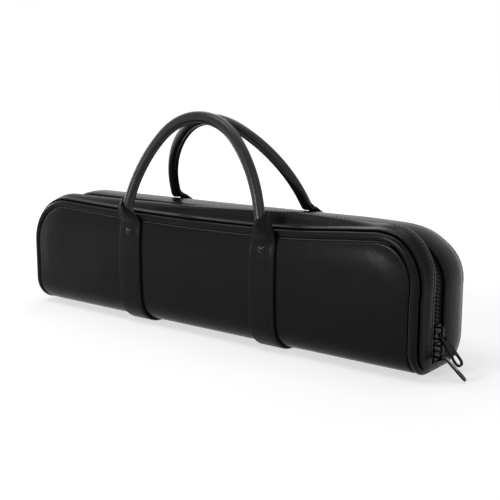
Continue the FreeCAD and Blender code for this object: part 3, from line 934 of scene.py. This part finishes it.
def handle_line(name):
    """Points along the handle from right to left: leg, shoulder, top, shoulder, leg."""
    sizes, tab = HANDLES[name], TABS[name]
    start = Vector((STRAP_X, tab.top.y, tab.top.z))
    turn, leg, top, arch = radians(sizes["turn"]), tab.leg, sizes["top"], sizes["arch"]
    top_x = top * sin(turn)
    rest = arch - top * (1 - cos(turn))
    slope = tan(leg)
    reach = (start.x - top_x - slope * rest) / (
        cos(leg) - sin(turn) - slope * (cos(turn) - sin(leg))
    )

    def at(x, height):
        return Vector((x, start.y, start.z)) + tab.up * height

    def on_shoulder(angle):
        x = top_x + reach * (cos(angle) - sin(turn))
        return at(x, rest - reach * (cos(turn) - sin(angle)))

    def on_top(angle):
        return at(top * sin(angle), arch - top * (1 - cos(angle)))

    high = pi / 2 - turn
    low, knee = at(start.x, 0), on_shoulder(leg)
    right = [low.lerp(knee, s) for s in spread(0, 1, max(int((knee - low).length / HANDLE_STEP), 2))]
    right += [on_shoulder(a) for a in spread(leg, high, int(reach * (high - leg) / HANDLE_STEP))[1:]]
    right += [on_top(a) for a in spread(turn, 0, int(top * turn / HANDLE_STEP))[1:]]
    return right + [mirrored(p) for p in reversed(right[:-1])]


# Turns round the sleeve. Turn 0 points into the arch, where the edges meet in a thin flange
ROLL_TURNS = [0.0, 0.1, 0.2, 0.32, 0.44, 0.6, 0.9, 1.3, 1.8, 2.3, 2.8, pi]
ROLL_TURNS += [-turn for turn in reversed(ROLL_TURNS[1:-1])]
FLANGE = 1.15
FLANGE_SEAM = 0.35
FLANGE_WIDTH = 0.16
SEAM_TURN = 0.42

# The sleeve's flat end: how far it runs on below the roll, how much wider and how much thinner it is
FLAT_ENDS = {-1: (11.0, 0.7, 0.72), 1: (6.0, 0.1, 0.72)}


def roll_ring(place, inward, across, wide, deep):
    """The rolled sleeve's section."""
    ring = []
    for turn in ROLL_TURNS:
        flange = FLANGE * exp(-((turn / FLANGE_WIDTH) ** 2))
        seam = FLANGE_SEAM * exp(-(((abs(turn) - SEAM_TURN) / FLANGE_WIDTH) ** 2))
        radius = HANDLE_RADIUS + flange - seam
        ring.append(place + inward * (cos(turn) * radius * wide) + across * (sin(turn) * radius * deep))
    return ring


def rolled_handle(name, title):
    """The leather rolled over its cord. Both ends run on under the straps' tongues and go flat there."""
    tab = TABS[name]
    line = handle_line(name)
    normal = tab.up.cross(RIGHT).normalized()
    rings = []
    for i, place in enumerate(line):
        along = (line[min(i + 1, len(line) - 1)] - line[max(i - 1, 0)]).normalized()
        inward = normal.cross(along).normalized()
        if (Vector((0, place.y, HINGE_Z)) - place).dot(inward) < 0:
            inward = -inward
        across = along.cross(inward).normalized()
        wobble = 1 + 0.012 * noise.noise(place * 0.05)
        rings.append(roll_ring(place, inward, across, wobble, wobble))
    length, wider, thinner = FLAT_ENDS[tab.side]
    for end in (1, -1):
        flat_end = []
        for share in spread(1, 0, 6)[:-1]:
            place, out = tab.at(tab.length - length * share)
            place = Vector((end * STRAP_X, place.y, place.z))
            flat = smooth(share)
            flat_end.append(roll_ring(place, -end * RIGHT, -tab.side * out, 1 + wider * flat, 1 - thinner * flat))
        rings = flat_end + rings if end > 0 else rings + flat_end[::-1]
    build = Builder()
    build.solid(rings)
    return build.make(title, "handle")


def build_handles():
    for name in SIDES:
        handle = rolled_handle(name, name + "_rolled_handle")
        dress(handle, name + "_handle", "handle_leather", name + "_handle_sleeve", name + "_handle_tabs")


build_handles()


# A rivet's cap, sunk a little in the leather. Its rolled rim by radius and height, then its dome
RIM = [(3.5, -0.3), (3.75, 0.05), (3.7, 0.4), (3.4, 0.62), (3.1, 0.6), (2.95, 0.5)]
DOME = [(2.85 * cos(turn), 0.5 + 1.25 * sin(turn)) for turn in spread(0.15, pi / 2, 8)]
RIVET_LIFT = 2.55
RIVET_SIDES = 28


def build_rivets():
    for name, side in SIDES.items():
        build = Builder()
        out, across = side * BACK, side * RIGHT
        for end in ENDS.values():
            place = Vector((end * STRAP_X, side * HALF_DEPTH, RIVET_Z))
            foot = on_face(place.x, place, out, side) + out * RIVET_LIFT
            build.sheet([
                circle(foot + out * high, across, -UP, max(radius, 0.02), RIVET_SIDES)
                for radius, high in RIM + DOME
            ], closed=True)
        dress(build.make(name + "_rivet_caps", "rivet"), name + "_half", "rivet_metal", name + "_rivets")


build_rivets()


# Zip


def zip_line():
    """The middle of the zip, from the foot of the right end over the top to that of the left one."""
    over = [(Vector((p.x, ZIP_Y, p.z)), n) for p, n in OUTLINES[1]]
    foot = [(Vector((HALF_LENGTH, ZIP_Y, z)), RIGHT) for z in spread(ZIP_LOW, FOLD_Z, 4)[:-1]]
    return foot + over + [(mirrored(p), mirrored(n)) for p, n in reversed(foot)]


# The teeth: their pitch in a row, their root and tip across the zip, and half their sizes along it and out of
# the case. Below PARTED_Z the rows part round the two sliders' necks
BEVEL = 0.25
TOOTH_PITCH = 3.0
TOOTH_ROOT = 2.4
TOOTH_TIP = -0.5
PARTED_TIP = 1.5
PARTED_Z = 39.2
LOWEST_TOOTH = ZIP_LOW + 2.2
TOOTH_HALVES = (0.62, 1.2)
BEAD_AT = TOOTH_ROOT + 0.3
BEAD_HALVES = (0.75, 0.95, 0.9)

# Half of a tape's section: across from the zip's middle, and half its thickness, from its beaded edge on
TAPE_FORM = (
    (2.3, 0.3), (2.8, 0.75), (3.4, 0.75), (3.9, TAPE / 2), (6.0, TAPE / 2), (TAPE_REACH - 0.2, TAPE / 2),
)


def bevelled_block(build, centre, axes, halves):
    """A block with cut edges."""
    a, b, c = axes
    x, y, z = halves
    corners = [(x, y - BEVEL), (x - BEVEL, y)]
    corners += [(-u, v) for u, v in reversed(corners)]
    corners += [(u, -v) for u, v in reversed(corners)]
    rings = []
    for height, inset in ((-z, BEVEL), (BEVEL - z, 0.0), (z - BEVEL, 0.0), (z, BEVEL)):
        rings.append([
            centre + a * (u - copysign(inset, u)) + b * (v - copysign(inset, v)) + c * height
            for u, v in corners
        ])
    build.solid(rings)


def build_zip():
    line = zip_line()
    run = Line(line)
    step = TOOTH_PITCH / 2
    spots = [run.at((i + 0.5) * step) for i in range(int(run.length / step + 0.5))]
    section = [(reach, ZIP_INSET - half) for reach, half in TAPE_FORM]
    section += [(reach, ZIP_INSET + half) for reach, half in reversed(TAPE_FORM)]
    for name, side in SIDES.items():
        across = side * BACK
        teeth = Builder()
        for place, out, along in spots[0 if side > 0 else 1 :: 2]:
            if place.z < LOWEST_TOOTH:
                continue
            tip = TOOTH_TIP if place.z > PARTED_Z or place.x < 0 else PARTED_TIP
            centre = place - out * ZIP_INSET
            axes = (across, along, out)
            halves = ((TOOTH_ROOT - tip) / 2, *TOOTH_HALVES)
            bevelled_block(teeth, centre + across * ((tip + TOOTH_ROOT) / 2), axes, halves)
            bevelled_block(teeth, centre + across * BEAD_AT, axes, BEAD_HALVES)
        dress(teeth.make(name + "_teeth", "teeth", False), name + "_half", "zip_teeth", name + "_zip_teeth")
        tape = Builder()
        tape.solid([[place + across * reach - out * deep for reach, deep in section] for place, out in line])
        dress(tape.make(name + "_tape", "tape"), name + "_half", "zip_tape", name + "_zip_tape")


build_zip()


# The fold along the bottom


def fold_strip(title, material, slot, *sections):
    """A strip along the bottom, where the case bends when it unfolds. Each section gives a ring at one y."""
    build = Builder()
    for section in sections:
        build.solid([section(y) for y in spread(FOLD_FROM, FOLD_TO, FOLD_STEPS)])
    line = ((0, FOLD_FROM, BASE), (0, FOLD_TO, BASE))
    joint_blend(build.make(title, material), "back_half", "front_half", *line, slot)


def fold_hide(y):
    lip = [(HALF_LENGTH - inset, BASE + deep) for inset, deep in reversed(PANEL_LIP)]
    flat = HALF_LENGTH - PANEL_LIP[0][0]
    outer = lip + [(x, BASE) for x in spread(flat, -flat, 40)[1:-1]] + [(-x, z) for x, z in reversed(lip)]
    under = [(x, BASE + LEATHER) for x in spread(-flat, flat, 40)]
    return [Vector((x, y, z)) for x, z in outer + under]


def fold_piping(end):
    return lambda y: welt_ring((Vector((end * HALF_LENGTH, y, BASE)), -UP, end * RIGHT))


def fold_strap(end):
    return lambda y: strap_ring(lambda t: Vector((end * (STRAP_X + t), y, BASE)), -UP)


def fold_lining(y):
    half = HALF_LENGTH - FLAT_INSET
    under = BASE + LEATHER + BOARD + LINING_EDGE
    top = [Vector((x, y, INSIDE_Z)) for x in spread(half, -half, 30)]
    return top + [Vector((x, y, under)) for x in spread(-half, half, 30)]


def build_fold():
    fold_strip("fold_hide", "panel", "panel_leather", fold_hide)
    fold_strip("fold_piping", "welt", "welt_leather", *(fold_piping(end) for end in ENDS.values()))
    fold_strip("fold_straps", "strap", "strap_leather", *(fold_strap(end) for end in ENDS.values()))
    fold_strip("fold_lining", "plush", "lining_plush", fold_lining)


build_fold()


# Lining and padding


def lining(side, name):
    """The plush inside of one half: face, fold, bottom and band up to the zip's tape, with turned edges."""
    build = Builder()
    stop_y = STOPS[side]
    inset = LEATHER + LINING
    corner = EDGE_RADIUS - INSIDE
    lower = shell(build, side, INSIDE, 0, 10)
    build.sheet(lower + [[place - UP * LINING for place in lower[-1]]])
    path = edge_path(side, stop_y)
    strip = []
    for sample, target in zip(path, opening_edge(side, stop_y, path, LINING_OPENING)):
        place, panel_out, band_out = sample
        row = [section_point(sample, INSIDE, d) for d in (flat_inset(side, place), 10.0, inset + corner)]
        centre = section_point(sample, INSIDE + corner, inset + corner)
        row += [
            centre + (panel_out * cos(turn) + band_out * sin(turn)) * corner
            for turn in spread(0, pi / 2, 4)[1:]
        ]
        begin = row[-1]
        target = target - band_out * inset
        row += [begin.lerp(target, share) for share in spread(0, 1, 5)[1:]]
        row.append(target + band_out * (LINING - LINING_EDGE))
        strip.append(row)
    build.sheet(strip)
    return build.make(name, "plush")


# The pads: remesh, rounds of smoothing, crown with its unevenness, its fade to the edges, and its depth
PAD_VOXEL = 3.0
PAD_ROUNDS = 5
PAD_CROWN = 1.8
PAD_UNEVEN = 0.5
PAD_FADE = 26.0
PAD_DEEP = 8.0


def padding(node, title, body, side):
    """A padded form in the place of its solid: soft edges, and a face that is crowned between them."""
    solid = bpy.data.objects.new(title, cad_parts[node].data.copy())
    bpy.context.scene.collection.objects.link(solid)
    remesh = solid.modifiers.new("even", "REMESH")
    remesh.mode = "VOXEL"
    remesh.voxel_size = PAD_VOXEL * MM
    mesh = bpy.data.meshes.new_from_object(solid.evaluated_get(bpy.context.evaluated_depsgraph_get()))
    bpy.data.objects.remove(solid)
    work = bmesh.new()
    work.from_mesh(mesh)
    for _ in range(PAD_ROUNDS):
        bmesh.ops.smooth_vert(work, verts=work.verts, factor=0.5, use_axis_x=True, use_axis_y=True, use_axis_z=True)
    lows = [min(vert.co[i] for vert in work.verts) for i in range(3)]
    highs = [max(vert.co[i] for vert in work.verts) for i in range(3)]
    face = lows[1] if side > 0 else highs[1]
    for vert in work.verts:
        x, y, z = vert.co
        edge = min(x - lows[0], highs[0] - x, z - lows[2], highs[2] - z) / MM
        near = 1 - smooth(abs(y - face) / MM / PAD_DEEP)
        crown = PAD_CROWN + noise.noise(Vector((x, 0, z)) * 18.0) * PAD_UNEVEN
        vert.co.y -= side * crown * MM * smooth(edge / PAD_FADE) * near
    work.to_mesh(mesh)
    work.free()
    thing = show(title, mesh, "plush")
    dress(thing, body, "padding_plush", node)


def build_inside():
    for name, side in SIDES.items():
        dress(lining(side, name + "_plush"), name + "_half", "lining_plush", name + "_lining")
    padding("cradle", "cradle_padding", "back_half", 1)
    padding("lid_pad", "lid_padding", "front_half", -1)


build_inside()


# The finish of the solids, by the first of these words in their names
WORDS = {
    "teeth": "teeth", "stops": "teeth", "slider": "slider", "pull": "slider", "rivet": "rivet",
    "stiffener": "board", "cord": "cord", "tape": "tape", "cradle": "plush", "pad": "plush",
    "lining": "plush", "handle": "handle", "": "strap",
}
for node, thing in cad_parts.items():
    finish = next(material for word, material in WORDS.items() if word in node)
    thing.data.materials.clear()
    thing.data.materials.append(MATERIALS[finish])


# Stage


def look_from(place, aim, up=UP):
    """The world matrix, in metres, of a camera or lamp at one place that looks at another."""
    back = (place - aim).normalized()
    right = up.cross(back).normalized()
    turn = Matrix((right, back.cross(right), back)).transposed()
    return Matrix.Translation(place * MM) @ turn.to_4x4()


CAMERA_LENS_PX = 906.07
PHOTO_PX = 500.0
SENSOR = 36.0
CAMERA_AZIMUTH = radians(37.94)
CAMERA_RISE = radians(10.41)
CAMERA_FAR = 768.4
CAMERA_AIM = Vector((29.77, 0.0, 72.64))


def build_camera():
    data = bpy.data.cameras.new("camera")
    data.sensor_width = SENSOR
    data.sensor_fit = "HORIZONTAL"
    data.lens = SENSOR * CAMERA_LENS_PX / PHOTO_PX
    camera = bpy.data.objects.new("camera", data)
    bpy.context.scene.collection.objects.link(camera)
    flat = cos(CAMERA_RISE)
    back = Vector((sin(CAMERA_AZIMUTH) * flat, -cos(CAMERA_AZIMUTH) * flat, sin(CAMERA_RISE)))
    camera.matrix_world = look_from(CAMERA_AIM + back * CAMERA_FAR, CAMERA_AIM)
    bpy.context.scene.camera = camera


def seen(tree):
    """1 for rays from the camera and for what mirrors or glass would show, otherwise 0."""
    rays = tree.nodes.new("ShaderNodeLightPath").outputs
    mirrored_rays = maths_node(tree, "MAXIMUM", rays["Is Camera Ray"], rays["Is Glossy Ray"])
    return maths_node(tree, "MAXIMUM", mirrored_rays, rays["Is Transmission Ray"])


# How strongly the floor glows near the case and far off, and between which distances in metres it changes
FLOOR_GREY = 0.45
FLOOR_NEAR = 0.6
FLOOR_FAR = 0.95
FLOOR_FADE = (0.25, 0.7)
FLOOR_HALF = 6000.0


def floor_material():
    """A plain white floor that keeps the object's shadow and runs out into the white behind."""
    nodes = Nodes(
        "floor_white", Roughness=0.9, Specular_IOR_Level=0.0,
        Base_Color=(FLOOR_GREY, FLOOR_GREY, FLOOR_GREY, 1), Emission_Color=(1, 1, 1, 1),
    )
    far = nodes.add("ShaderNodeVectorMath", {0: nodes.place}, operation="LENGTH").outputs["Value"]
    inputs = (far, *FLOOR_FADE, FLOOR_NEAR, FLOOR_FAR)
    fade = nodes.add("ShaderNodeMapRange", dict(enumerate(inputs)))
    nodes.link(nodes.maths("MULTIPLY", fade.outputs["Result"], seen(nodes.tree)), "Emission Strength")
    return nodes.material


def build_floor():
    ends = (-FLOOR_HALF, FLOOR_HALF)
    floor = Builder()
    floor.sheet([[Vector((x, y, 0)) for x in ends] for y in ends])
    MATERIALS["floor"] = floor_material()
    floor.make("floor", "floor")


WORLD_LIGHT = 0.2
LAMP_UP = Vector((0, 0.01, 1))

# Each square lamp's place, what it points at, its size and its power in watts
LAMPS = {
    "key": ((-350, -500, 1500), (0, 0, 100), 700, 8),
    "side": ((1300, -500, 900), (60, 0, 60), 900, 2.5),
    "top": ((100, 300, 1400), (0, 0, 60), 700, 4),
    "front": ((-250, -1250, 330), (100, -37, 80), 260, 9),
    "behind": ((-530, 640, 800), (50, 0, 100), 560, 1.9),
    "left": ((-1300, -150, 350), (0, 0, 150), 300, 3.5),
}


def build_light():
    world = bpy.data.worlds.new("studio")
    world.use_nodes = True
    bpy.context.scene.world = world
    tree = world.node_tree
    background = tree.nodes["Background"]
    background.inputs["Color"].default_value = (1, 1, 1, 1)
    shown = maths_node(tree, "MULTIPLY_ADD", seen(tree), 1.0 - WORLD_LIGHT, WORLD_LIGHT)
    tree.links.new(shown, background.inputs["Strength"])
    for name, (place, aim, size, power) in LAMPS.items():
        data = bpy.data.lights.new(name, "AREA")
        data.energy = power
        data.size = size * MM
        lamp = bpy.data.objects.new(name, data)
        bpy.context.scene.collection.objects.link(lamp)
        lamp.matrix_world = look_from(Vector(place), Vector(aim), LAMP_UP)


build_camera()
build_floor()
build_light()
bpy.context.scene.view_settings.view_transform = "Standard"
